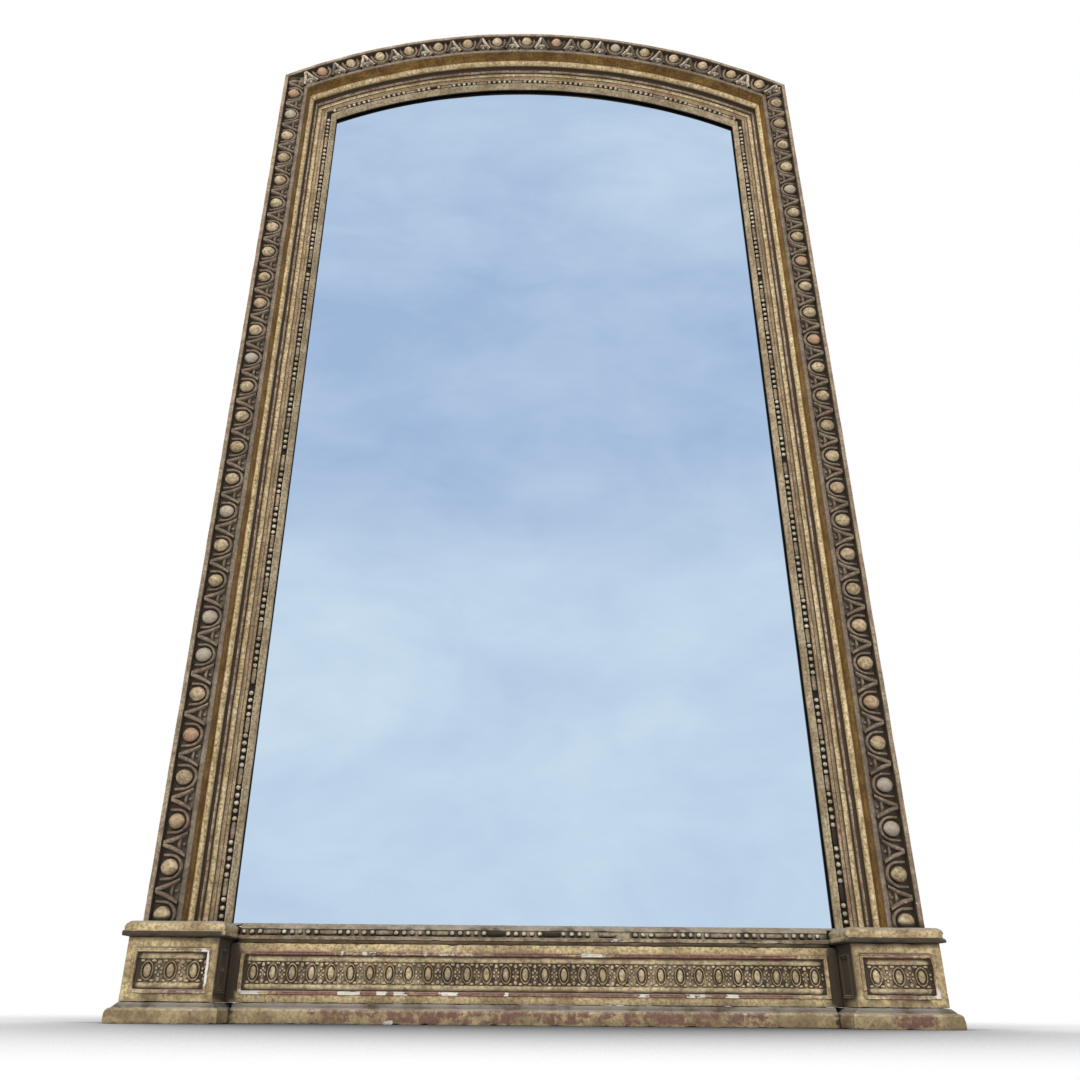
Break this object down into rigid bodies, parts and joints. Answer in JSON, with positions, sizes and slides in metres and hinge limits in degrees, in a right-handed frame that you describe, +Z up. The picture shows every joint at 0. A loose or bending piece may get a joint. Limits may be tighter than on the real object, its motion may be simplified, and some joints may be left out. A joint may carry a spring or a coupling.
{
  "type": "overmantel mirror",
  "caption": "Tall gilt wooden overmantel mirror with a segmental arched top, egg and dart frame moulding, beaded sight edge and a panelled base with two projecting pedestals.",
  "frame": {"origin": "midway across the width and the depth of the whole mirror, at the underside of the base", "axes": "+Z up, -Y out of the front of the mirror, +X to the viewer's right"},
  "size_m": [1.018, 0.111, 1.789],
  "materials": {
    "gilt_wood": "aged gold leaf over red-brown bole and gesso, worn, with dark dirt in the recesses",
    "gilt_ornament": "aged gold leaf on pressed ornament, greyed with dust",
    "bare_wood": "bare aged softwood",
    "backboards": "rough sawn and darkened softwood boards",
    "mirror_plate": "silvered mirror plate"
  },
  "bodies": {
    "root": {"left_stile": "gilt_wood", "right_stile": "gilt_wood", "arch_rail": "gilt_wood", "left_mitre_key": "bare_wood", "right_mitre_key": "bare_wood", "left_egg_and_dart": "gilt_ornament", "right_egg_and_dart": "gilt_ornament", "arch_egg_and_dart": "gilt_ornament", "left_bead_run": "gilt_ornament", "right_bead_run": "gilt_ornament", "arch_bead_run": "gilt_ornament", "bottom_bead_run": "gilt_ornament", "left_pedestal_base": "gilt_wood", "right_pedestal_base": "gilt_wood", "plinth_base": "gilt_wood", "left_pedestal": "gilt_wood", "right_pedestal": "gilt_wood", "left_pedestal_cap": "gilt_wood", "right_pedestal_cap": "gilt_wood", "plinth": "gilt_wood", "bottom_rail": "gilt_wood", "left_panel_moulding": "gilt_wood", "right_panel_moulding": "gilt_wood", "plinth_panel_moulding": "gilt_wood", "left_return_panel_moulding": "gilt_wood", "right_return_panel_moulding": "gilt_wood", "left_frieze": "gilt_ornament", "right_frieze": "gilt_ornament", "plinth_frieze": "gilt_ornament", "mirror_glass": "mirror_plate", "backboard_1": "backboards", "backboard_2": "backboards", "backboard_3": "backboards", "backboard_4": "backboards", "backboard_5": "backboards", "backboard_6": "backboards", "glass_blocks": "bare_wood", "stile_tenons": "bare_wood"}
  },
  "joints": []
}
